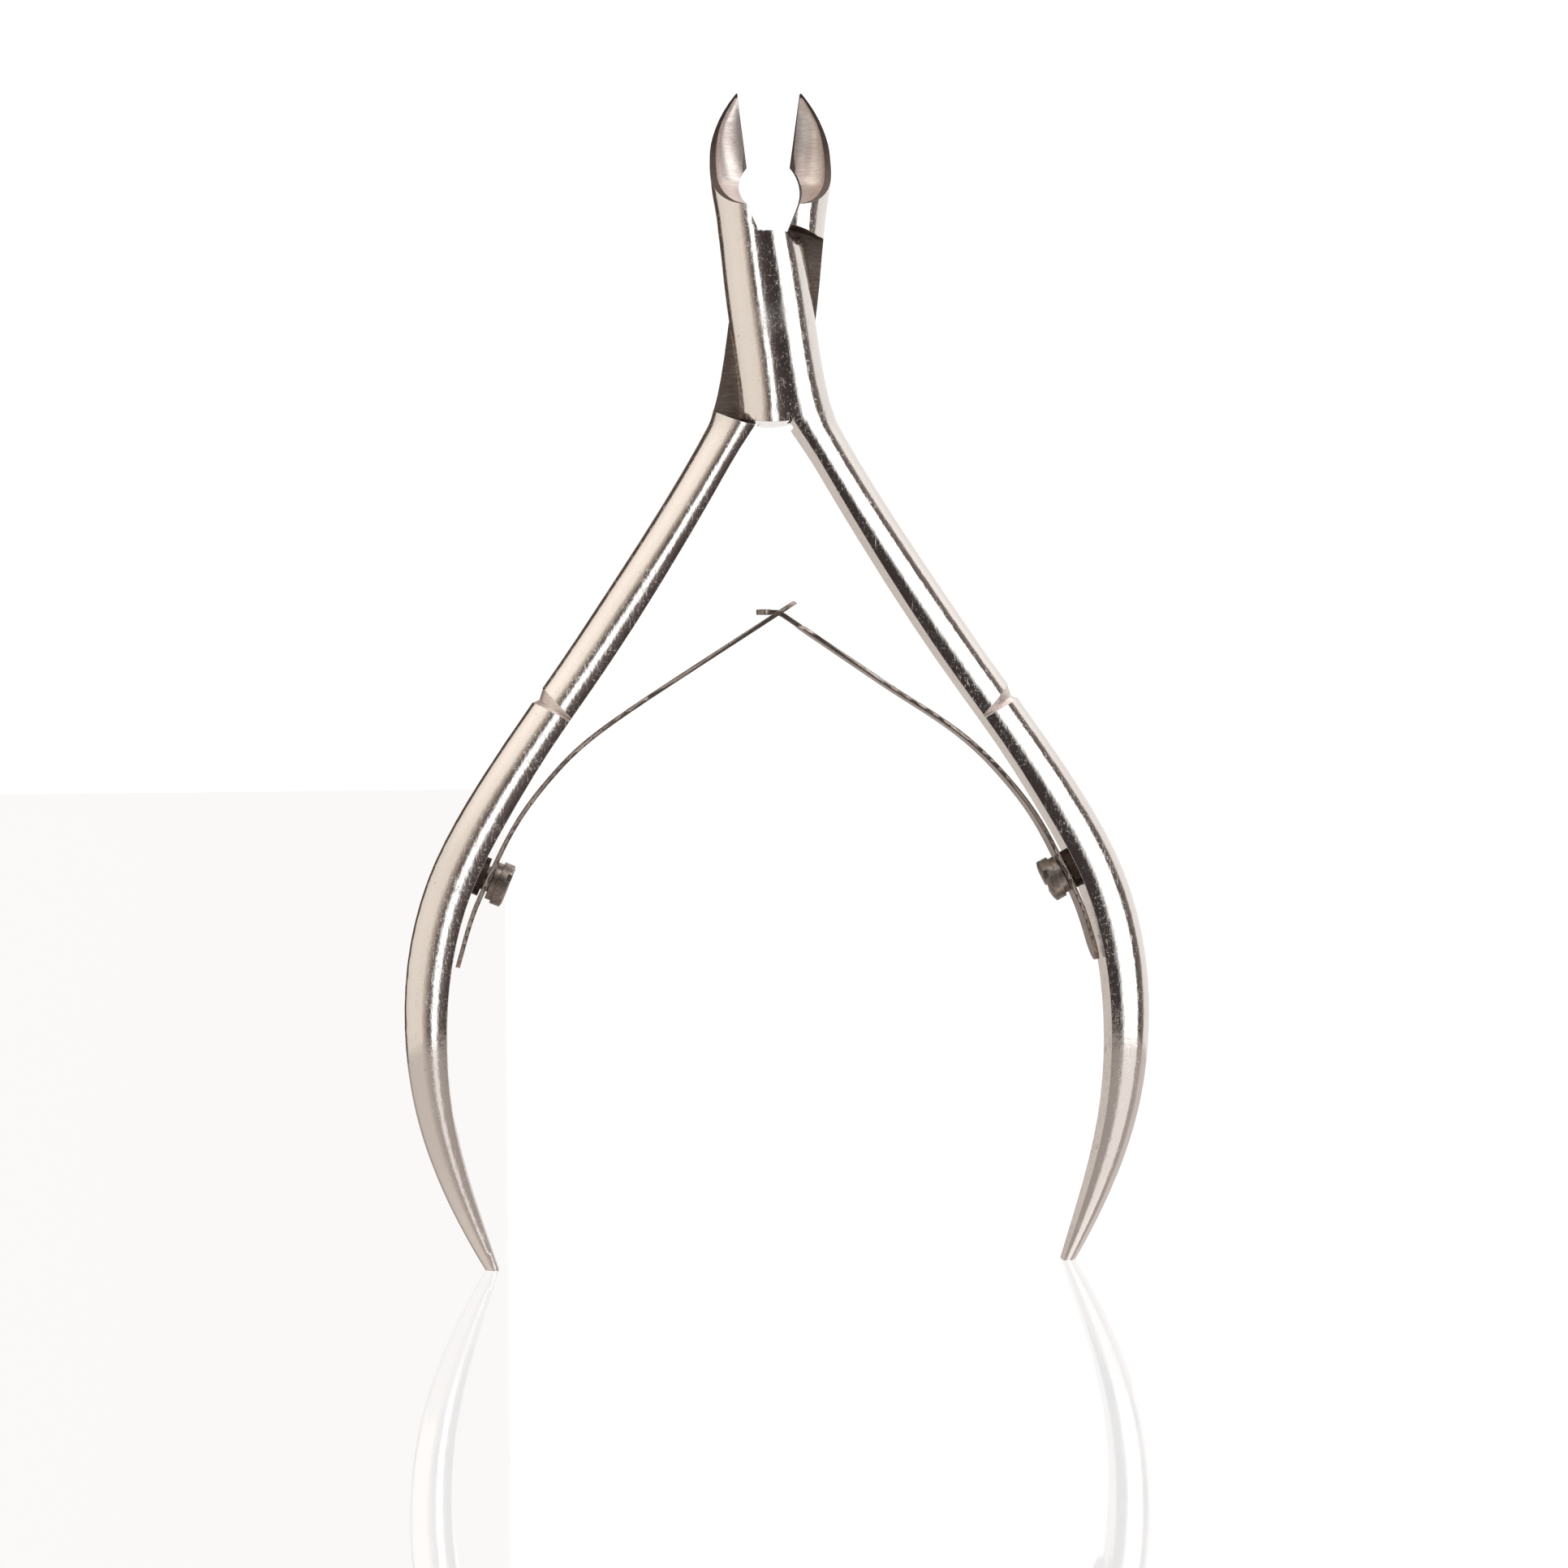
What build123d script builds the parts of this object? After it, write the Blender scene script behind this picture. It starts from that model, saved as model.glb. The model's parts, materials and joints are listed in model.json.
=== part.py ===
"""Cuticle nipper: two forged levers on a flush rivet, held open by two interlocking leaf springs.

+Z up, +X to the right seen from the front, +Y away from the front.
The origin lies on the floor plane midway between the two handle tips, on the mating plane of the laps.
Each lever is shaped in its closed position about the pivot, then turned to the resting (open) position.
"""

import os
from math import cos, radians, sin

from build123d import *

os.makedirs("parts", exist_ok=True)

# ---------------------------------------------------------------- driving dimensions (mm, degrees)
pivot_height = 92.5
half_opening = 7.7
lap_clearance = 0.03
jaw_clearance = 0.02

lap_half_depth = 4.0
lap_top_radius = 8.5
lap_bottom_radius = 10.1
top_shoulder_radius = 9.2
bottom_shoulder_radius = 10.6
jaw_root = 8.6
handle_root = -9.3
lap_root_half_width = 4.02
handle_root_half_width = 4.62

rivet_radius = 2.0
rivet_bore_radius = 2.03

leaf_thickness = 0.44
leaf_hole_radius = 1.38
screw_tilt_left = 23.0
screw_tilt_right = 28.0
screw_seat_gap = 0.1
screw_shank_radius = 1.22
screw_bore_radius = 1.25
screw_collar_radius = 1.9
screw_collar_height = 0.6
screw_shank_reach = 3.3
screw_bore_reach = 3.1
screw_head_radius = 2.15
screw_head_height = 1.15
screw_dome = 0.14
screw_slot_width = 0.75
screw_slot_depth = 0.48
screw_slot_turn = 24.0
seat_radius = 1.95
seat_gap = 0.2
seat_reach = 1.5

# Lap, top to bottom: height above the pivot, half width.
lap_sections = [
    (jaw_root, lap_root_half_width),
    (5.0, 4.15),
    (0.0, 4.22),
    (-4.0, 4.24),
    (-7.0, 4.36),
    (handle_root, handle_root_half_width),
    (-lap_bottom_radius, 4.78),
]

# Handle, root to tip: inner edge x and z, lean of the bar from vertical, width across, half depth.
handle_sections = [
    (0.0, handle_root, 0.0, handle_root_half_width, lap_half_depth),
    (0.38, -10.15, 8.0, 4.36, 3.98),
    (0.95, -11.35, 16.0, 4.0, 3.92),
    (1.77, -13.05, 21.5, 3.76, 3.82),
    (3.27, -16.58, 23.0, 3.7, 3.65),
    (6.26, -23.64, 23.5, 3.86, 3.45),
    (9.43, -30.63, 25.3, 4.03, 3.3),
    (12.83, -37.5, 27.0, 4.04, 3.2),
    (16.36, -44.31, 26.2, 4.06, 3.15),
    (19.5, -51.3, 22.8, 4.3, 3.1),
    (22.1, -58.51, 14.3, 4.42, 3.03),
    (23.21, -66.09, 2.9, 4.38, 2.92),
    (22.82, -73.74, -7.8, 4.08, 2.72),
    (21.23, -81.24, -16.6, 3.46, 2.4),
    (18.46, -88.39, -23.4, 2.55, 1.95),
    (16.0, -93.5, -26.2, 1.6, 1.45),
    (14.6, -96.3, -27.0, 0.9, 1.05),
]

# File-cut ring round the outside of each handle: where it sits, its widths and depth.
notch_inner_x = 14.75
notch_inner_z = -41.3
notch_lean = 27.2
notch_bar_width = 4.04
notch_half_depth = 3.17
notch_cut = 0.36
notch_depth_cut = 0.24
notch_upper_angle = 13.0
notch_lower_angle = 6.0

# Jaw, root to tip: height, outer half width, depth centre, half depth.
jaw_sections = [
    (jaw_root, lap_root_half_width, 0.0, lap_half_depth),
    (9.6, 4.0, 0.0, 3.99),
    (11.5, 3.98, 0.0, 3.95),
    (13.5, 4.03, 0.0, 3.85),
    (15.3, 3.95, -0.1, 3.82),
    (16.8, 3.77, 0.15, 3.29),
    (18.3, 3.39, 0.75, 2.41),
    (19.7, 2.73, 1.13, 1.77),
    (20.9, 1.95, 1.33, 1.34),
    (21.9, 1.1, 1.42, 1.06),
    (22.8, 0.18, 1.44, 0.88),
]

# Hollow-ground scoop shared by the closed jaws: height, half width, depth centre, depth behind it.
scoop_sections = [
    (11.15, 0.95, -3.95, 0.35),
    (11.6, 1.75, -3.35, 0.8),
    (12.3, 2.57, -2.45, 1.5),
    (13.2, 3.08, -1.5, 2.2),
    (14.3, 3.33, -0.6, 2.72),
    (15.5, 3.28, 0.1, 2.5),
    (16.8, 3.12, 0.7, 2.15),
    (18.1, 2.82, 1.15, 1.6),
    (19.4, 2.38, 1.42, 1.12),
    (20.6, 1.72, 1.57, 0.81),
    (21.6, 0.98, 1.58, 0.61),
    (22.4, 0.3, 1.56, 0.44),
]
relief_radius = 12.0
relief_centre_y = -10.4
relief_centre_z = 21.3

# Bevel along the cutting edges: height, half width, depth at the scoop, depth at the land.
bevel_sections = [(15.1, 0.56, 2.72, 3.66), (22.9, 0.03, 1.92, 2.24)]

# Half outline of the throat between the closed jaws: half width, height.
throat_outline = [(0.42, 8.9), (0.7, 9.9), (0.98, 11.0), (1.26, 12.1), (1.34, 13.0), (1.16, 14.0), (0.62, 15.05)]
throat_foot = 8.3
throat_head = 15.7

# Leaf spring, tail to free end: distance from the centre line, height below the pivot.
leaf_curve = [
    (31.4, -62.9),
    (29.75, -57.5),
    (28.3, -54.3),
    (26.75, -51.1),
    (24.85, -47.9),
    (22.5, -44.9),
    (19.4, -41.7),
    (15.0, -38.4),
    (10.1, -35.2),
]
leaf_screw_point = (28.3, -54.3)
leaf_tail_width = 4.2
leaf_arm_width = 3.2
eyelet_end = (-2.0, -27.5)
slot_centre_x = 0.55
slot_length = 2.0
slot_width = 1.7
shoulder_height = -29.75
tongue_bend = (0.9, -28.85)
tongue_rise = (0.25, -28.5)
tongue_end = (-0.6, -28.47)
tongue_width = 1.1
tongue_head_width = 2.6
tongue_head_length = 1.5
tongue_head_thickness = 0.5


def half_oval(plane, width, half_depth):
    """D-shaped section: a flat on the plane's y axis and an elliptical bulge towards its x axis."""
    with BuildSketch(plane) as section:
        with BuildLine():
            first = EllipticalCenterArc((0, 0), width, half_depth, start_angle=-90, arc_size=90)
            second = EllipticalCenterArc((0, 0), width, half_depth, start_angle=0, arc_size=90)
            Line(second @ 1, first @ 0)
        make_face()
    return section.sketch


def handle_plane(side, inner_x, inner_z, lean):
    """Plane square to the handle bar, its origin on the inner face and its x axis outwards."""
    tilt = radians(lean)
    outwards = (side * cos(tilt), 0, sin(tilt))
    along = (side * sin(tilt), 0, -cos(tilt))
    return Plane(origin=(side * inner_x, 0, inner_z), x_dir=outwards, z_dir=along)


def shoulder_cutter(side, radius, height_sign):
    """Round pocket that frees the other lever's lap, above or below the pivot."""
    with BuildPart() as pocket:
        with BuildSketch(Plane.XZ.offset(side * lap_clearance)):
            Circle(radius)
            with Locations((0, height_sign * 10)):
                Rectangle(24, 20, mode=Mode.INTERSECT)
        extrude(amount=-side * 12)
    return pocket.part


def lap_body(side):
    """Half-round lap lying in front of (side 1) or behind (side -1) the mating plane."""
    sections = []
    for height, half_width in lap_sections:
        flat = Plane(origin=(0, 0, height), x_dir=(0, -side, 0), z_dir=(0, 0, 1))
        sections.append(half_oval(flat, lap_half_depth, half_width))
    with BuildPart() as lap:
        loft(sections)
        with BuildSketch(Plane.XZ.offset(side * lap_clearance)):
            Rectangle(24, 24)
        extrude(amount=-side * 1, mode=Mode.SUBTRACT)
        with BuildSketch(Plane.XZ.offset(-8)):
            with Locations((-side * 6, jaw_root + 3), (side * 6, handle_root - 3)):
                Rectangle(12, 6)
        extrude(amount=16, mode=Mode.SUBTRACT)
        with BuildSketch(Plane.XZ.offset(-8)):
            with Locations((side * 6, 10)):
                Rectangle(12, 20)
            Circle(lap_top_radius, mode=Mode.SUBTRACT)
        extrude(amount=16, mode=Mode.SUBTRACT)
        with BuildSketch(Plane.XZ.offset(-8)):
            with Locations((-side * 6, -10)):
                Rectangle(12, 20)
            Circle(lap_bottom_radius, mode=Mode.SUBTRACT)
        extrude(amount=16, mode=Mode.SUBTRACT)
    return lap.part


def notch_wedge(side, waist_cut, extra):
    """Solid between the notch's two walls: three sections fanned out from near the inner face."""
    sections = []
    for angle, waist, shift in ((notch_upper_angle, 0, -0.14), (0, waist_cut, 0), (-notch_lower_angle, 0, 0.14)):
        square = handle_plane(side, notch_inner_x, notch_inner_z, notch_lean + angle)
        width = notch_bar_width / cos(radians(angle)) - waist * notch_cut + extra
        half_depth = notch_half_depth - waist * notch_depth_cut + extra
        sections.append(half_oval(square.offset(shift), width, half_depth))
    with BuildPart() as wedge:
        loft(sections, ruled=True)
    return wedge.part


def notch_cutter(side):
    """Groove round the outside of the handle, deepest at its outer edge and fading towards the front."""
    with BuildPart() as groove:
        add(notch_wedge(side, 0, 1.0))
        add(notch_wedge(side, 1, 0.0), mode=Mode.SUBTRACT)
    return groove.part


def handle_bar(side):
    """D-section handle from the lap to its tip, with the flat face inwards."""
    sections = []
    for inner_x, inner_z, lean, width, half_depth in handle_sections:
        sections.append(half_oval(handle_plane(side, inner_x, inner_z, lean), width, half_depth))
    with BuildPart() as bar:
        loft(sections)
        add(shoulder_cutter(side, bottom_shoulder_radius, -1), mode=Mode.SUBTRACT)
        add(notch_cutter(side), mode=Mode.SUBTRACT)
    return bar.part


def scoop_core():
    """Spoon-shaped hollow behind the front relief, shared by the two jaws when they are shut."""
    sections = []
    for height, half_width, centre_y, depth in scoop_sections:
        with BuildSketch(Plane(origin=(0, centre_y, height), x_dir=(1, 0, 0), z_dir=(0, 0, 1))) as oval:
            Ellipse(half_width, depth)
        sections.append(oval.sketch)
    with BuildPart() as core:
        loft(sections)
    return core.part


def throat_opening():
    """Teardrop opening right through the jaws, from the laps' upper edge to the heel of the edges."""
    right = [(half_width, height) for half_width, height in throat_outline]
    left = [(-half_width, height) for half_width, height in reversed(throat_outline)]
    with BuildPart() as opening:
        with BuildSketch(Plane.XZ.offset(-8)):
            with BuildLine():
                Line((-throat_outline[0][0], throat_foot), (throat_outline[0][0], throat_foot))
                Line((throat_outline[0][0], throat_foot), right[0])
                Spline(*right, (0, throat_head))
                Spline((0, throat_head), *left)
                Line(left[-1], (-throat_outline[0][0], throat_foot))
            make_face()
        extrude(amount=16)
    return opening.part


def edge_bevel():
    """Wedge that bevels both cutting edges from the scoop down to a thin land at the back."""
    sections = []
    for height, half_width, floor_y, land_y in bevel_sections:
        corners = [
            (-half_width, floor_y - 0.8),
            (-half_width, floor_y),
            (0, land_y),
            (half_width, floor_y),
            (half_width, floor_y - 0.8),
        ]
        with BuildSketch(Plane.XY.offset(height)) as section:
            Polygon(*corners, align=None)
        sections.append(section.sketch)
    with BuildPart() as wedge:
        loft(sections, ruled=True)
    return wedge.part


def jaw_blade(side):
    """Jaw on the side away from the lever's handle, ground hollow from the front."""
    jaw_side = -side
    sections = []
    for height, half_width, centre_y, half_depth in jaw_sections:
        flat = Plane(origin=(0, centre_y, height), x_dir=(jaw_side, 0, 0), z_dir=(0, 0, 1))
        sections.append(half_oval(flat, half_width, half_depth))
    with BuildPart() as jaw:
        loft(sections)
        with BuildSketch(Plane.YZ.offset(-jaw_clearance)):
            with Locations((0, 16)):
                Rectangle(16, 16)
        extrude(amount=2 * jaw_clearance, mode=Mode.SUBTRACT)
        with BuildSketch(Plane.YZ.offset(-6)):
            with Locations((relief_centre_y, relief_centre_z)):
                Circle(relief_radius)
        extrude(amount=12, mode=Mode.SUBTRACT)
        add(scoop_core(), mode=Mode.SUBTRACT)
        add(throat_opening(), mode=Mode.SUBTRACT)
        add(edge_bevel(), mode=Mode.SUBTRACT)
        add(shoulder_cutter(side, top_shoulder_radius, 1), mode=Mode.SUBTRACT)
    return jaw.part


def forging(side):
    """Whole lever in its closed position: handle on the given side, lap, and jaw on the other side."""
    with BuildPart() as lever:
        add(lap_body(side))
        add(handle_bar(side))
        add(jaw_blade(side))
        with BuildSketch(Plane.XZ.offset(-8)):
            Circle(rivet_bore_radius)
        extrude(amount=16, mode=Mode.SUBTRACT)
    return lever.part


def rivet_half(side):
    """Half of the rivet on one side of the mating plane, its end ground flush with the round lap."""
    with BuildPart() as half:
        with BuildSketch(Plane.XZ):
            Circle(rivet_radius)
        extrude(amount=side * 6)
        with BuildSketch(Plane.XY.offset(-5)):
            Ellipse(lap_sections[3][1] - 0.02, lap_half_depth - 0.02)
        extrude(amount=10, mode=Mode.INTERSECT)
    return half.part


def screw_plane(side):
    """Plane square to a spring screw, centred in the leaf, its z axis pointing inwards to the head."""
    tilt = radians(screw_tilt_right if side == 1 else screw_tilt_left)
    x, z = leaf_screw_point
    return Plane(
        origin=(side * x, 0, pivot_height + z), x_dir=(0, 1, 0), z_dir=(-side * cos(tilt), 0, -sin(tilt))
    )


def spring_band(side, free_end):
    """Leaf's side view drawn at full width: a bowed tail and a straight arm up to its free end."""
    curve = [(side * x, pivot_height + z) for x, z in leaf_curve]
    arm = [(side * x, pivot_height + z) for x, z in free_end]
    with BuildPart() as band:
        with BuildSketch(Plane.XZ.offset(-leaf_tail_width)):
            with BuildLine():
                first_slope = (curve[1][0] - curve[0][0], curve[1][1] - curve[0][1])
                arm_slope = (arm[0][0] - curve[-1][0], arm[0][1] - curve[-1][1])
                Spline(*curve, tangents=[first_slope, arm_slope])
                Polyline(curve[-1], *arm)
            trace(line_width=leaf_thickness)
        extrude(amount=2 * leaf_tail_width)
    return band.part


def leaf_outline(top_height, top_width, round_rise):
    """Leaf's outline seen along X: rounded tail, gentle taper, rounded upper end."""
    tail = pivot_height + leaf_curve[0][1] - 0.1
    half_tail = leaf_tail_width / 2
    half_top = top_width / 2
    tail_side = tail + half_tail * 0.8
    top_side = top_height - round_rise
    with BuildPart() as outline:
        with BuildSketch(Plane.YZ.offset(-40)):
            with BuildLine():
                ThreePointArc((-half_tail, tail_side), (0, tail), (half_tail, tail_side))
                Line((half_tail, tail_side), (half_tail, tail + 10))
                Line((half_tail, tail + 10), (half_top, top_side))
                ThreePointArc((half_top, top_side), (0, top_height), (-half_top, top_side))
                Line((-half_top, top_side), (-half_tail, tail + 10))
                Line((-half_tail, tail + 10), (-half_tail, tail_side))
            make_face()
        extrude(amount=80)
    return outline.part


def tongue_and_head():
    """Narrow tongue of the right leaf with the wide oval head on its level end."""
    with BuildPart() as tongue:
        add(spring_band(1, [tongue_bend, tongue_rise, tongue_end]))
        with BuildSketch(Plane.XY.offset(pivot_height - 31)):
            with Locations((1.2, 0)):
                Rectangle(4.0, tongue_width)
        extrude(amount=4, mode=Mode.INTERSECT)
        with BuildSketch(Plane.XY.offset(pivot_height + tongue_end[1] - tongue_head_thickness / 2)):
            with Locations((tongue_end[0] - tongue_head_length / 2 + 0.25, 0)):
                Ellipse(tongue_head_length / 2, tongue_head_width / 2)
        extrude(amount=tongue_head_thickness)
    return tongue.part


def spring_screw(side):
    """Slotted cheese-head screw with a collar: shank in the handle, head on the inner side of the leaf."""
    seat = leaf_thickness / 2 + screw_seat_gap
    with BuildPart() as screw:
        with BuildSketch(screw_plane(side).offset(seat)):
            Circle(screw_shank_radius)
        extrude(amount=-(seat + screw_shank_reach))
        with BuildSketch(screw_plane(side).offset(seat)):
            Circle(screw_collar_radius)
        extrude(amount=screw_collar_height)
        with BuildSketch(screw_plane(side).offset(seat + screw_collar_height)):
            Circle(screw_head_radius)
        extrude(amount=screw_head_height)
        rim = screw.edges().filter_by(GeomType.CIRCLE).sort_by(lambda edge: edge.center().X * side)[0]
        chamfer(rim, length=screw_dome, length2=screw_dome * 2.5)
        top = seat + screw_collar_height + screw_head_height
        with BuildSketch(screw_plane(side).offset(top)):
            Rectangle(2 * screw_head_radius + 1, screw_slot_width, rotation=side * screw_slot_turn)
        extrude(amount=-screw_slot_depth, mode=Mode.SUBTRACT)
    return screw.part


# ---------------------------------------------------------------- pieces
with BuildPart() as front_lever:
    with Locations((0, 0, pivot_height)):
        add(forging(1), rotation=(0, -half_opening, 0))
    with BuildSketch(screw_plane(1).offset(-leaf_thickness / 2 - seat_gap)):
        Circle(seat_radius)
    extrude(amount=-seat_reach)
    with BuildSketch(screw_plane(1).offset(-0.4)):
        Circle(screw_bore_radius)
    extrude(amount=-screw_bore_reach, mode=Mode.SUBTRACT)
    split(bisect_by=Plane.XY, keep=Keep.TOP)

with BuildPart() as rear_lever:
    with Locations((0, 0, pivot_height)):
        add(forging(-1), rotation=(0, half_opening, 0))
    with BuildSketch(screw_plane(-1).offset(-leaf_thickness / 2 - seat_gap)):
        Circle(seat_radius)
    extrude(amount=-seat_reach)
    with BuildSketch(screw_plane(-1).offset(-0.4)):
        Circle(screw_bore_radius)
    extrude(amount=-screw_bore_reach, mode=Mode.SUBTRACT)
    split(bisect_by=Plane.XY, keep=Keep.TOP)

with BuildPart() as pivot_rivet:
    with Locations((0, 0, pivot_height)):
        add(rivet_half(1), rotation=(0, -half_opening, 0))
        add(rivet_half(-1), rotation=(0, half_opening, 0))

# Left leaf: its end is an eyelet whose slot lets the other leaf's tongue through.
with BuildPart() as left_leaf_spring:
    add(spring_band(-1, [eyelet_end]))
    add(leaf_outline(pivot_height + eyelet_end[1] + 0.1, leaf_arm_width, 0.75), mode=Mode.INTERSECT)
    with BuildSketch(screw_plane(-1).offset(-1)):
        Circle(leaf_hole_radius)
    extrude(amount=2, mode=Mode.SUBTRACT)
    with BuildSketch(Plane.XY.offset(pivot_height - 31)):
        with Locations((slot_centre_x, 0)):
            RectangleRounded(slot_length, slot_width, 0.6)
    extrude(amount=5, mode=Mode.SUBTRACT)

# Right leaf: shoulders, then a narrow tongue bent level with a wide head beyond the eyelet.
with BuildPart() as right_leaf_spring:
    add(spring_band(1, [tongue_bend, tongue_rise, tongue_end]))
    add(leaf_outline(pivot_height + shoulder_height, leaf_arm_width, 0.45), mode=Mode.INTERSECT)
    add(tongue_and_head())
    with BuildSketch(screw_plane(1).offset(-1)):
        Circle(leaf_hole_radius)
    extrude(amount=2, mode=Mode.SUBTRACT)

with BuildPart() as left_spring_screw:
    add(spring_screw(-1))

with BuildPart() as right_spring_screw:
    add(spring_screw(1))

front_lever.part.label = "front_lever"
rear_lever.part.label = "rear_lever"
pivot_rivet.part.label = "pivot_rivet"
left_leaf_spring.part.label = "left_leaf_spring"
right_leaf_spring.part.label = "right_leaf_spring"
left_spring_screw.part.label = "left_spring_screw"
right_spring_screw.part.label = "right_spring_screw"

export_step(front_lever.part, "parts/front_lever.step")
export_step(rear_lever.part, "parts/rear_lever.step")
export_step(pivot_rivet.part, "parts/pivot_rivet.step")
export_step(left_leaf_spring.part, "parts/left_leaf_spring.step")
export_step(right_leaf_spring.part, "parts/right_leaf_spring.step")
export_step(left_spring_screw.part, "parts/left_spring_screw.step")
export_step(right_spring_screw.part, "parts/right_spring_screw.step")
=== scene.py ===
import json
import math

import bmesh
import bpy
import numpy as np
from mathutils import Matrix, Vector


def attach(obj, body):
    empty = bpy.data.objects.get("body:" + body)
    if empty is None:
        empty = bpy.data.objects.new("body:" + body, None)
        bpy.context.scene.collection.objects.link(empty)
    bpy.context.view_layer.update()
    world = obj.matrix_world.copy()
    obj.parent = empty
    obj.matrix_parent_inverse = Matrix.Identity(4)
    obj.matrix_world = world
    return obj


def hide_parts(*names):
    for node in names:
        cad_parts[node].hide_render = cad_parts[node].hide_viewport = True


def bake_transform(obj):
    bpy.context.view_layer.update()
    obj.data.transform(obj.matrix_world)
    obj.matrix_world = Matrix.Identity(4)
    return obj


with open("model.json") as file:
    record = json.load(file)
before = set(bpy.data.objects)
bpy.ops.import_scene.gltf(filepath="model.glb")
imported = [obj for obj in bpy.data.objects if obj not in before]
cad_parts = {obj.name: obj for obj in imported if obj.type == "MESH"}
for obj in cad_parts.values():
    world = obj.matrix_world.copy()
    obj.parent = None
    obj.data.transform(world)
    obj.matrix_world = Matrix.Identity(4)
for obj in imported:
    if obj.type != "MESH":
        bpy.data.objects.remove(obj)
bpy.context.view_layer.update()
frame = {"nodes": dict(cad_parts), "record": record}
nodes = frame["nodes"]
joints = {joint["name"]: joint for joint in frame["record"]["behaviour"]["joints"]}
pivot = Vector(joints["pivot"]["pos_m"])
half_opening = math.radians(joints["pivot"]["range_deg"][1]) / 2

# The lap's round face: heights from the pivot, its half widths there, and its half depth (metres).
lap_heights = np.array([-0.0101, -0.0093, -0.007, -0.004, 0.0, 0.005, 0.0086])
lap_half_widths = np.array([0.00478, 0.00462, 0.00436, 0.00424, 0.00422, 0.00415, 0.00402])
lap_width_slopes = np.gradient(lap_half_widths, lap_heights)
lap_half_depth = 0.004
lap_face_tolerance = 0.03
rivet_radius = 0.002
rivet_bore_radius = 0.00203

# How the smooth normals are made: angles in degrees, area in square metres.
lap_match_angle = 14
fit_match_angle = 9
fit_neighbours = 8
sliver_area = 1e-11
weld_steps_per_metre = 1e7
leaf_slice = 0.0008


# ------------------------------------------------------------------ smooth-shaded copies of the CAD nodes
def turned_about_pivot(vector, turn):
    """A direction or an offset from the pivot, turned about the pivot's axis."""
    x, y, z = vector
    return np.array([x * math.cos(turn) + z * math.sin(turn), y, -x * math.sin(turn) + z * math.cos(turn)])


def lap_turn(point):
    """Turn from rest to the closed position of the lever whose lap is on the point's side."""
    return half_opening if point[1] < 0 else -half_opening


def lap_normal(point):
    """Exact outward normal of the lap's half-oval face at a point on it, or None off the face."""
    turn = lap_turn(point)
    across, deep, height = turned_about_pivot(np.array(point) - np.array(pivot), turn)
    if not lap_heights[0] < height < lap_heights[-1]:
        return None
    wide = np.interp(height, lap_heights, lap_half_widths)
    if abs((across / wide) ** 2 + (deep / lap_half_depth) ** 2 - 1) > lap_face_tolerance:
        return None
    slope = np.interp(height, lap_heights, lap_width_slopes)
    normal = np.array([across / wide**2, deep / lap_half_depth**2, -(across**2) * slope / wide**3])
    return turned_about_pivot(normal / np.linalg.norm(normal), -turn)


def welded(mesh):
    """Points with the copies at shared places merged, and triangles over them."""
    raw = np.empty(len(mesh.vertices) * 3)
    mesh.vertices.foreach_get("co", raw)
    raw = raw.reshape(-1, 3)
    keys = np.round(raw * weld_steps_per_metre).astype(np.int64)
    _, first, inverse = np.unique(keys, axis=0, return_index=True, return_inverse=True)
    corner = np.empty(len(mesh.loops), dtype=np.int64)
    mesh.loops.foreach_get("vertex_index", corner)
    return raw[first], inverse.ravel()[corner].reshape(-1, 3)


def triangle_normals(points, tris):
    """Unit normals and areas of the triangles."""
    cross = np.cross(points[tris[:, 1]] - points[tris[:, 0]], points[tris[:, 2]] - points[tris[:, 0]])
    length = np.linalg.norm(cross, axis=1)
    return cross / np.maximum(length, 1e-15)[:, None], length / 2


def smooth_groups(tris, normals, areas, crease):
    """Numbers the triangles by smooth patch. Neighbours in one patch meet at less than the crease angle."""
    edges = {}
    for face, (a, b, c) in enumerate(tris.tolist()):
        for p, q in ((a, b), (b, c), (c, a)):
            edges.setdefault((min(p, q), max(p, q)), []).append(face)
    limit = math.cos(math.radians(crease))
    near = [[] for _ in range(len(tris))]
    for faces in edges.values():
        if len(faces) == 2:
            f, g = faces
            if float(normals[f] @ normals[g]) > limit or min(areas[f], areas[g]) < sliver_area:
                near[f].append(g)
                near[g].append(f)
    group = np.full(len(tris), -1)
    number = 0
    for start in range(len(tris)):
        if group[start] >= 0:
            continue
        group[start] = number
        stack = [start]
        while stack:
            for other in near[stack.pop()]:
                if group[other] < 0:
                    group[other] = number
                    stack.append(other)
        number += 1
    return group


def fitted_normal(here, near, start):
    """Normal at a point of the curved surface that passes through it and near its neighbours."""
    side = np.cross(start, (1.0, 0.0, 0.0) if abs(start[0]) < 0.8 else (0.0, 1.0, 0.0))
    side /= np.linalg.norm(side)
    other = np.cross(start, side)
    offset = near - here
    a, b, h = offset @ side, offset @ other, offset @ start
    reach = np.sqrt(a * a + b * b)
    weight = 1.0 / (reach + 0.15 * np.median(reach) + 1e-6)
    terms = np.stack([a, b, a * a, a * b, b * b], axis=1) * weight[:, None]
    fit = np.linalg.lstsq(terms, h * weight, rcond=1e-4)[0]
    better = start - fit[0] * side - fit[1] * other
    better /= np.linalg.norm(better)
    return better if float(better @ start) > math.cos(math.radians(fit_match_angle)) else start


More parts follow.
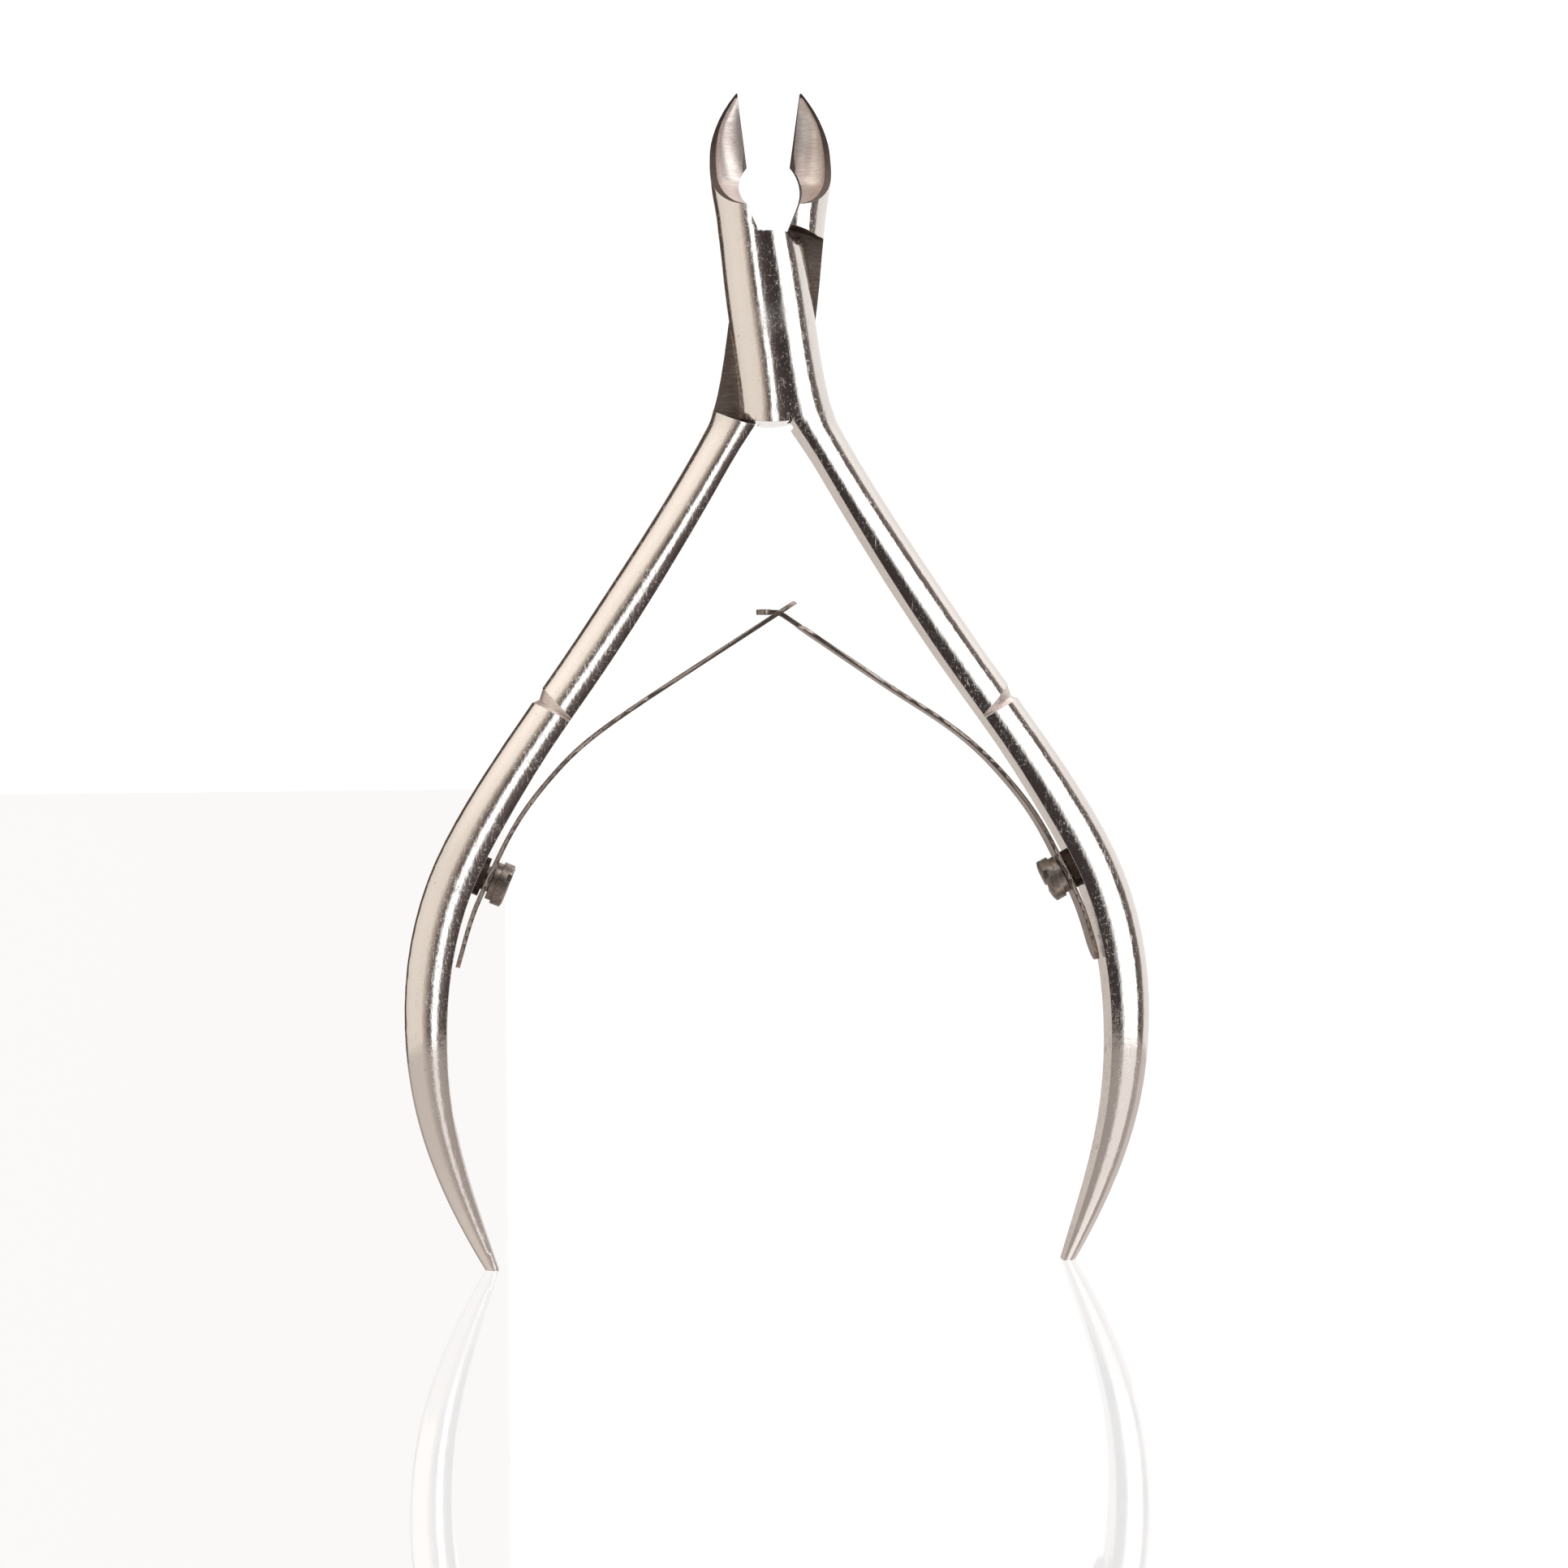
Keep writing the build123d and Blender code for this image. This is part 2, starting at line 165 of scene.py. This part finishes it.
def patch_normals(points, tris, normals):
    """Normals at a patch's points: exact on the laps, fitted to the neighbours elsewhere."""
    ids, local = np.unique(tris, return_inverse=True)
    local = local.reshape(-1, 3)
    place = points[ids]
    summed = np.zeros_like(place)
    ring = [set() for _ in ids]
    for face, corners in enumerate(local.tolist()):
        for k in range(3):
            here = corners[k]
            u = place[corners[(k + 1) % 3]] - place[here]
            v = place[corners[(k + 2) % 3]] - place[here]
            size = np.linalg.norm(u) * np.linalg.norm(v)
            cosine = float(u @ v) / max(size, 1e-18)
            summed[here] += normals[face] * math.acos(max(-1.0, min(1.0, cosine)))
            ring[here].update(corners)
    result = summed / np.maximum(np.linalg.norm(summed, axis=1), 1e-12)[:, None]
    for here in range(len(ids)):
        start = result[here].copy()
        exact = lap_normal(place[here])
        if exact is not None and float(exact @ start) > math.cos(math.radians(lap_match_angle)):
            result[here] = exact
            continue
        near = set()
        for one in ring[here]:
            near |= ring[one]
        near.discard(here)
        if len(near) >= fit_neighbours:
            result[here] = fitted_normal(place[here], place[sorted(near)], start)
    return ids, result


def slice_level(mesh, step):
    """Cuts a mesh at even heights and splits it into triangles."""
    work = bmesh.new()
    work.from_mesh(mesh)
    heights = [vertex.co.z for vertex in work.verts]
    for level in np.arange(min(heights) + step, max(heights), step):
        whole = work.verts[:] + work.edges[:] + work.faces[:]
        bmesh.ops.bisect_plane(work, geom=whole, plane_co=(0, 0, level), plane_no=(0, 0, 1))
    bmesh.ops.triangulate(work, faces=work.faces[:])
    work.to_mesh(mesh)
    work.free()


def skin(node, name, crease=24, step=None):
    """Copy of a CAD node with evenly shaded curved faces. Returns the piece and its smooth patches."""
    mesh = nodes[node].data.copy()
    if step:
        slice_level(mesh, step)
    piece = bpy.data.objects.new(name, mesh)
    bpy.context.collection.objects.link(piece)
    points, tris = welded(mesh)
    normals, areas = triangle_normals(points, tris)
    group = smooth_groups(tris, normals, areas, crease)
    corner_normals = np.empty((len(tris), 3, 3))
    patches = []
    for number in range(group.max() + 1):
        members = np.nonzero(group == number)[0]
        ids, better = patch_normals(points, tris[members], normals[members])
        lookup = {int(key): k for k, key in enumerate(ids)}
        for face in members:
            for k in range(3):
                corner_normals[face, k] = better[lookup[int(tris[face, k])]]
        total = areas[members].sum()
        facing = (normals[members] * areas[members, None]).sum(axis=0) / max(total, 1e-15)
        middle = points[ids].mean(axis=0)
        patches.append({"faces": members, "area": total, "facing": facing, "middle": middle})
    mesh.polygons.foreach_set("use_smooth", [True] * len(mesh.polygons))
    mesh.normals_split_custom_set(corner_normals.reshape(-1, 3).tolist())
    return piece, patches


def paint(piece, materials, choose, patches):
    """Gives each patch of a piece one of the materials."""
    mesh = piece.data
    mesh.materials.clear()
    for material in materials:
        mesh.materials.append(material)
    index = np.zeros(len(mesh.polygons), dtype=np.int32)
    for patch in patches:
        index[patch["faces"]] = choose(patch)
    mesh.polygons.foreach_set("material_index", index)


# ------------------------------------------------------------------ materials
class Graph:
    """Short names for building a shader's nodes."""

    def __init__(self, tree):
        self.tree = tree
        self.tree.nodes.clear()

    def put(self, socket, value):
        if hasattr(value, "is_output"):
            self.tree.links.new(value, socket)
        else:
            socket.default_value = value

    def node(self, kind, inputs=None, **settings):
        made = self.tree.nodes.new(kind)
        for key, value in settings.items():
            setattr(made, key, value)
        for key, value in (inputs or {}).items():
            self.put(made.inputs[key], value)
        return made

    def math(self, operation, first, second=0.0, clamp=False):
        settings = {"operation": operation, "use_clamp": clamp}
        return self.node("ShaderNodeMath", {0: first, 1: second}, **settings).outputs[0]

    def span(self, value, low, high, to_low=0.0, to_high=1.0):
        inputs = {0: value, 1: low, 2: high, 3: to_low, 4: to_high}
        return self.node("ShaderNodeMapRange", inputs, clamp=True).outputs[0]

    def mix(self, amount, first, second):
        return self.node("ShaderNodeMix", {0: amount, 6: first, 7: second}, data_type="RGBA").outputs[2]

    def noise(self, where, stretch, turn=(0, 0, 0), detail=2.0, rough=0.5):
        placed = self.node("ShaderNodeMapping", {0: where, 2: turn, 3: stretch}).outputs[0]
        inputs = {"Vector": placed, "Scale": 1.0, "Detail": detail, "Roughness": rough}
        return self.node("ShaderNodeTexNoise", inputs).outputs[0]


def from_rivet(g, where):
    """Distance from the pivot's axis."""
    offset = g.node("ShaderNodeVectorMath", {0: where, 1: tuple(pivot)}, operation="SUBTRACT").outputs[0]
    flat = g.node("ShaderNodeVectorMath", {0: offset, 1: (1, 0, 1)}, operation="MULTIPLY").outputs[0]
    return g.node("ShaderNodeVectorMath", {0: flat}, operation="LENGTH").outputs["Value"]


def steel(
    name, colour, rough, hairlines=0.2, pits=1.0, ripple=0.1, grain=None, tint=None, edge=0.00008, haze=0.0
):
    """Stainless steel. rough is its least and greatest roughness, grain its grinding marks, tint a second
    colour in patches, edge the rounding of its edges and haze a dull spot over the rivet.
    """
    material = bpy.data.materials.new(name)
    material.use_nodes = True
    g = Graph(material.node_tree)
    where = g.node("ShaderNodeTexCoord").outputs["Object"]
    away = from_rivet(g, where)
    cloud = g.noise(where, (180, 180, 180), detail=4.0, rough=0.6)

    # Scratches across and along the tool, and short scuffs.
    across = g.span(g.noise(where, (900, 900, 8000), (0.35, 0.9, 0.2), 3.0), 0.64, 0.74)
    along = g.span(g.noise(where, (7000, 1400, 620), (0.15, 0.25, 0.0), 3.0), 0.60, 0.72)
    specks = g.span(g.noise(where, (5200, 4200, 3000), (0.9, -0.7, 0.4), 3.0, 0.7), 0.57, 0.66)
    lines = g.math("MAXIMUM", across, g.math("MAXIMUM", along, specks))
    lines = g.math("MULTIPLY", lines, g.span(cloud, 0.30, 0.55))

    # Pits: a dot in a few of the cells.
    cells = g.node("ShaderNodeTexVoronoi", {"Vector": where, "Scale": 900.0, "Randomness": 1.0})
    pick = g.node("ShaderNodeSeparateColor", {0: cells.outputs["Color"]}).outputs[0]
    dots = g.math("MULTIPLY", g.span(cells.outputs["Distance"], 0.10, 0.05), g.span(pick, 0.86, 0.87))
    dots = g.math("MULTIPLY", dots, pits)

    # Colour.
    tone = g.noise(where, (60, 60, 60), detail=5.0)
    shade = g.mix(g.span(tone, 0.3, 0.7), tuple(c * 0.93 for c in colour) + (1,), colour + (1,))
    if tint:
        patches = g.noise(where, (420, 420, 260), (0.4, 0.2, 0.9), 3.0)
        shade = g.mix(g.span(patches, 0.42, 0.66, 0.0, 0.8), shade, tint + (1,))
    shade = g.mix(g.math("MULTIPLY", dots, 0.75), shade, (0.16, 0.12, 0.09, 1))

    # Roughness.
    dull = g.span(cloud, 0.25, 0.75, *rough)
    dull = g.math("ADD", dull, g.math("MULTIPLY", lines, hairlines))
    dull = g.math("ADD", dull, g.math("MULTIPLY", dots, 0.4))
    dull = g.math("ADD", dull, g.span(away, 0.0010, 0.0026, haze, 0.0), clamp=True)

    # Relief: slow waves, fine ripple, scratches, pits and grinding marks.
    slow = g.math("MULTIPLY", g.noise(where, (90, 90, 55), detail=1.0), 0.3)
    peel = g.math("MULTIPLY", g.noise(where, (2300, 2300, 1100), (0, 0.3, 0), 3.0, 0.6), ripple)
    height = g.math("ADD", g.math("ADD", slow, peel), g.math("MULTIPLY", lines, 0.05 * hairlines))
    height = g.math("SUBTRACT", height, g.math("MULTIPLY", dots, 0.3))
    if grain:
        cut = g.noise(where, grain["stretch"], grain["turn"], 4.0, 0.65)
        height = g.math("ADD", height, g.math("MULTIPLY", cut, grain["depth"]))
        dull = g.math("ADD", dull, g.span(cut, 0.3, 0.7, -0.08, 0.1), clamp=True)
        shade = g.mix(g.span(cut, 0.38, 0.72, 0.0, grain["contrast"]), shade, grain["dark"] + (1,))

    # Edges are rounded everywhere but round the rivet's end, which is flush.
    rounding = g.span(away, 0.0022, 0.0026, 0.0, edge)
    rounded = g.node("ShaderNodeBevel", {"Radius": rounding}, samples=4).outputs[0]
    bump_inputs = {"Strength": 0.5, "Distance": 0.00006, "Height": height, "Normal": rounded}
    bump = g.node("ShaderNodeBump", bump_inputs).outputs[0]
    inputs = {"Base Color": shade, "Metallic": 1.0, "Roughness": dull, "Normal": bump}
    shader = g.node("ShaderNodeBsdfPrincipled", inputs)
    g.node("ShaderNodeOutputMaterial", {"Surface": shader.outputs[0]})
    return material


def grinding(stretch, turn, depth, contrast, dark):
    """Grinding marks: their scale and direction, depth, and how much of which darker colour they have."""
    return {"stretch": stretch, "turn": turn, "depth": depth, "contrast": contrast, "dark": dark}


polished = steel("polished_steel", (0.83, 0.79, 0.755), (0.05, 0.11), hairlines=0.36, ripple=0.34, haze=0.14)
# Filed steel for the jaws' front rims and bevels. Its near-black colour is partly the filed finish and
# partly painted shade on the bevels and lands at the foot of the cutting edges.
filed_rim_with_painted_shade = steel(
    "filed_rim_and_painted_shade_steel",
    (0.135, 0.105, 0.09),
    (0.36, 0.46),
    pits=0.3,
    grain=grinding((1200, 900, 9000), (0.3, 0.95, 0.2), 0.5, 0.6, (0.10, 0.075, 0.065)),
    edge=0.00004,
)
ground_hollow = steel(
    "ground_hollow_steel",
    (0.80, 0.735, 0.69),
    (0.30, 0.42),
    hairlines=0.2,
    tint=(0.66, 0.55, 0.525),
    grain=grinding((900, 900, 7000), (0.2, 0.9, 0.3), 1.0, 0.6, (0.42, 0.36, 0.33)),
    edge=0.00004,
)
lap_flat = steel(
    "ground_lap_steel",
    (0.40, 0.335, 0.29),
    (0.34, 0.46),
    hairlines=0.2,
    tint=(0.30, 0.235, 0.17),
    grain=grinding((900, 900, 6000), (0.1, 0.6, 0.2), 1.0, 0.9, (0.12, 0.092, 0.08)),
)
# Painted shade: near-black steel put on the shoulders beside the laps and on the handles' faces by the
# spring screws. It stands in for the shade there and for the dark leaf and screw those faces mirror.
painted_shade_steel = steel(
    "painted_shade_shoulder_steel",
    (0.10, 0.072, 0.06),
    (0.45, 0.6),
    tint=(0.05, 0.033, 0.028),
    grain=grinding((900, 5000, 900), (0, 0.1, 0), 0.5, 0.5, (0.04, 0.028, 0.024)),
)
spring_steel = steel(
    "spring_steel",
    (0.40, 0.345, 0.31),
    (0.26, 0.38),
    pits=0.6,
    grain=grinding((500, 6000, 500), (0, 0, 0), 0.3, 0.6, (0.17, 0.14, 0.12)),
    edge=0.00010,
)
# Screw steel, its colour darkened as painted shade for the dark surroundings that the screw heads and
# collars would mirror.
screw_steel = steel(
    "screw_steel",
    (0.36, 0.315, 0.285),
    (0.28, 0.42),
    hairlines=0.3,
    tint=(0.20, 0.165, 0.14),
    grain=grinding((2600, 900, 2600), (0, 0.4, 0), 0.9, 0.7, (0.10, 0.08, 0.068)),
)


# ------------------------------------------------------------------ pieces
lever_materials = [polished, filed_rim_with_painted_shade, ground_hollow, lap_flat, painted_shade_steel]
POLISHED, RIM, HOLLOW, LAP_FLAT, PAINTED_SHADE = range(len(lever_materials))
jaw_foot = pivot.z + 0.0105
lap_reach = 0.0125
screw_spot = Vector((0.0283, 0, 0.0382))
screw_seat_reach = 0.003
notch_spot = Vector((0.0222, 0, 0.0552))
notch_reach = 0.004
largest_notch_area = 1e-5
largest_shoulder_area = 3e-5
largest_jaw_area = 6e-5


def lever_finish(patch, lap_side):
    """Which of the lever's materials a patch has. lap_side is -1 where the lap lies in front, else 1."""
    x, y, z = patch["facing"]
    middle = Vector(patch["middle"])
    mirrored = Vector((abs(middle.x), middle.y, middle.z))
    near_pivot = math.hypot(middle.x, middle.z - pivot.z) < lap_reach
    # Painted shade: the handle's faces round the spring screw seat get the near-black steel for the shadow
    # and mirrored dark leaf there.
    if (mirrored - screw_spot).length < screw_seat_reach and patch["area"] < largest_shoulder_area:
        return PAINTED_SHADE
    if (mirrored - notch_spot).length < notch_reach and patch["area"] < largest_notch_area:
        return HOLLOW
    if abs(y) > 0.98 and near_pivot:
        return LAP_FLAT
    # Painted shade: the up- and down-facing shoulders on the side away from the lap get the near-black steel
    # for the shade in the gap beside the lap.
    if abs(z) > 0.85 and near_pivot and patch["area"] < largest_shoulder_area:
        return POLISHED if middle.y * lap_side > 0 else PAINTED_SHADE
    if middle.z > jaw_foot and patch["area"] < largest_jaw_area:
        faces_front = y < -0.75 and abs(x) < 0.3
        # The front rims and bevels take the dark rim steel, which is partly painted shade.
        bevel = abs(x) > 0.8
        return RIM if faces_front or bevel else HOLLOW
    return POLISHED


for node, body, lap_side in (("front_lever", "front", -1), ("rear_lever", "rear", 1)):
    lever, patches = skin(node, node + "_polished")
    paint(lever, lever_materials, lambda patch: lever_finish(patch, lap_side), patches)
    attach(lever, body)
    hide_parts(node)


def dress_rivet(mesh):
    """Fills the bores with the rivet's ends and sets them flush with the round laps."""
    middle = np.array(pivot)
    grow = rivet_bore_radius / rivet_radius
    for vertex in mesh.vertices:
        x, y, z = np.array(vertex.co) - middle
        if abs(y) < lap_half_depth / 2:
            continue
        turn = lap_turn((x, y, z))
        across, _, height = turned_about_pivot((x * grow, y, z * grow), turn)
        wide = np.interp(height, lap_heights, lap_half_widths)
        deep = lap_half_depth * math.sqrt(1 - (across / wide) ** 2)
        vertex.co = Vector((x * grow, math.copysign(deep, y), z * grow)) + pivot


rivet, patches = skin("pivot_rivet", "pivot_rivet_polished")
dress_rivet(rivet.data)
paint(rivet, [polished], lambda patch: 0, patches)
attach(rivet, "rear")
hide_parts("pivot_rivet")

for side, body, sign in (("left", "rear", -1), ("right", "front", 1)):
    screw, patches = skin(side + "_spring_screw", side + "_spring_screw_turned", 30)
    paint(screw, [screw_steel], lambda patch: 0, patches)
    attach(screw, body)
    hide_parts(side + "_spring_screw")

    leaf, patches = skin(side + "_leaf_spring", side + "_leaf_spring_strip", step=leaf_slice)
    paint(leaf, [spring_steel], lambda patch: 0, patches)
    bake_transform(leaf)
    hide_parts(side + "_leaf_spring")


# ------------------------------------------------------------------ floor and light
def floor_material():
    """Glossy table. The camera sees it white, and the steel mirrors it as a warm grey near the object."""
    material = bpy.data.materials.new("white_table")
    material.use_nodes = True
    g = Graph(material.node_tree)
    where = g.node("ShaderNodeTexCoord").outputs["Object"]
    seen = g.node("ShaderNodeLightPath").outputs["Is Camera Ray"]
    blur = g.span(g.noise(where, (40, 40, 40), detail=3.0), 0.3, 0.7, 0.02, 0.06)
    mirror = g.node("ShaderNodeBsdfGlossy", {"Color": (1, 0.985, 0.99, 1), "Roughness": blur}).outputs[0]
    colour = g.mix(seen, (0.64, 0.57, 0.53, 1), (1, 1, 1, 1))
    strength = g.span(seen, 0, 1, 0.86, 1.12)
    glow = g.node("ShaderNodeEmission", {"Color": colour, "Strength": strength}).outputs[0]
    table = g.node("ShaderNodeMixShader", {0: 0.3, 1: glow, 2: mirror}).outputs[0]
    reach = g.node("ShaderNodeVectorMath", {0: where}, operation="LENGTH").outputs["Value"]
    far = g.math("MULTIPLY", g.span(reach, 0.17, 0.19), g.math("SUBTRACT", 1.0, seen))
    clear = g.node("ShaderNodeBsdfTransparent").outputs[0]
    both = g.node("ShaderNodeMixShader", {0: far, 1: table, 2: clear}).outputs[0]
    g.node("ShaderNodeOutputMaterial", {"Surface": both})
    return material


table_half_width = 6.0
floor_mesh = bpy.data.meshes.new("table_top")
table = bmesh.new()
bmesh.ops.create_grid(table, x_segments=8, y_segments=8, size=table_half_width)
table.to_mesh(floor_mesh)
table.free()
floor = bpy.data.objects.new("table_top", floor_mesh)
floor.data.materials.append(floor_material())
bpy.context.collection.objects.link(floor)

# The studio round the object, by azimuth in degrees: 0 is the camera's side and 90 is +X.
studio_bands = [
    (-180, (0.60, 0.545, 0.50)),
    (-168, (0.64, 0.58, 0.53)),
    (-160, (0.06, 0.043, 0.036)),
    (-136, (0.10, 0.078, 0.066)),
    (-128, (0.84, 0.77, 0.70)),
    (-90, (0.93, 0.86, 0.79)),
    (-56, (0.91, 0.83, 0.75)),
    (-47, (0.46, 0.39, 0.34)),
    (-37, (0.13, 0.105, 0.095)),
    (-33, (0.16, 0.13, 0.12)),
    (-30, (1.0, 1.0, 1.0)),
    (-20, (1.0, 1.0, 1.0)),
    (-17, (0.18, 0.15, 0.145)),
    (-6, (0.08, 0.064, 0.062)),
    (8, (0.05, 0.04, 0.04)),
    (27, (0.055, 0.045, 0.045)),
    (34, (1.0, 1.0, 1.0)),
    (70, (1.0, 1.0, 1.0)),
    (73, (0.10, 0.082, 0.078)),
    (93, (0.20, 0.17, 0.16)),
    (100, (0.95, 0.915, 0.90)),
    (150, (0.96, 0.93, 0.92)),
    (180, (0.95, 0.92, 0.90)),
]


def studio():
    """Pale room with tall soft lamps either side of a dark gap in front, as the steel mirrors it."""
    world = bpy.data.worlds.new("studio")
    bpy.context.scene.world = world
    world.use_nodes = True
    g = Graph(world.node_tree)
    where = g.node("ShaderNodeTexCoord").outputs["Generated"]
    parts = g.node("ShaderNodeSeparateXYZ", {0: where})
    azimuth = g.math("ARCTAN2", parts.outputs[0], g.math("MULTIPLY", parts.outputs[1], -1.0))
    bands = g.node("ShaderNodeValToRGB", {0: g.span(azimuth, -math.pi, math.pi)})
    ramp = bands.color_ramp
    for k, (degrees, colour) in enumerate(studio_bands):
        at = (degrees + 180) / 360
        stop = ramp.elements[k] if k < 2 else ramp.elements.new(at)
        stop.position = at
        stop.color = colour + (1,)
    # The whitest bands are the lamps, and are brighter than the room. Overhead is brighter still.
    blue = g.node("ShaderNodeSeparateColor", {0: bands.outputs[0]}).outputs[2]
    lamp = g.span(blue, 0.94, 0.99, 1.0, 1.9)
    lamp = g.math("MULTIPLY", lamp, g.span(parts.outputs[2], 0.4, 0.75, 1.0, 1.6))
    seen = g.node("ShaderNodeLightPath").outputs["Is Camera Ray"]
    room = g.node("ShaderNodeBackground", {"Color": bands.outputs[0], "Strength": lamp}).outputs[0]
    plain = g.node("ShaderNodeBackground", {"Color": (1, 1, 1, 1), "Strength": 1.1}).outputs[0]
    both = g.node("ShaderNodeMixShader", {0: seen, 1: room, 2: plain}).outputs[0]
    g.node("ShaderNodeOutputWorld", {"Surface": both})


studio()


# ------------------------------------------------------------------ camera
camera_place = Vector((-0.0267, -0.400, 0.0501))
camera_yaw = math.radians(3.92)
camera_pitch = math.radians(-0.42)
camera_roll = math.radians(-0.58)
camera_lens = 93.8
camera_sensor = 36.0

ahead = Vector((math.sin(camera_yaw), math.cos(camera_yaw), 0))
forward = ahead * math.cos(camera_pitch) + Vector((0, 0, math.sin(camera_pitch)))
level = Vector((math.cos(camera_yaw), -math.sin(camera_yaw), 0))
upright = level.cross(forward)
right = level * math.cos(camera_roll) + upright * math.sin(camera_roll)
up = upright * math.cos(camera_roll) - level * math.sin(camera_roll)
camera_data = bpy.data.cameras.new("camera")
camera_data.lens = camera_lens
camera_data.sensor_width = camera_sensor
camera_data.clip_start = 0.01
camera_data.clip_end = 50.0
camera = bpy.data.objects.new("camera", camera_data)
camera_turn = Matrix((right, up, -forward)).transposed().to_4x4()
camera.matrix_world = Matrix.Translation(camera_place) @ camera_turn
bpy.context.collection.objects.link(camera)
bpy.context.scene.camera = camera
bpy.context.scene.view_settings.view_transform = "Standard"
bpy.context.scene.view_settings.look = "None"
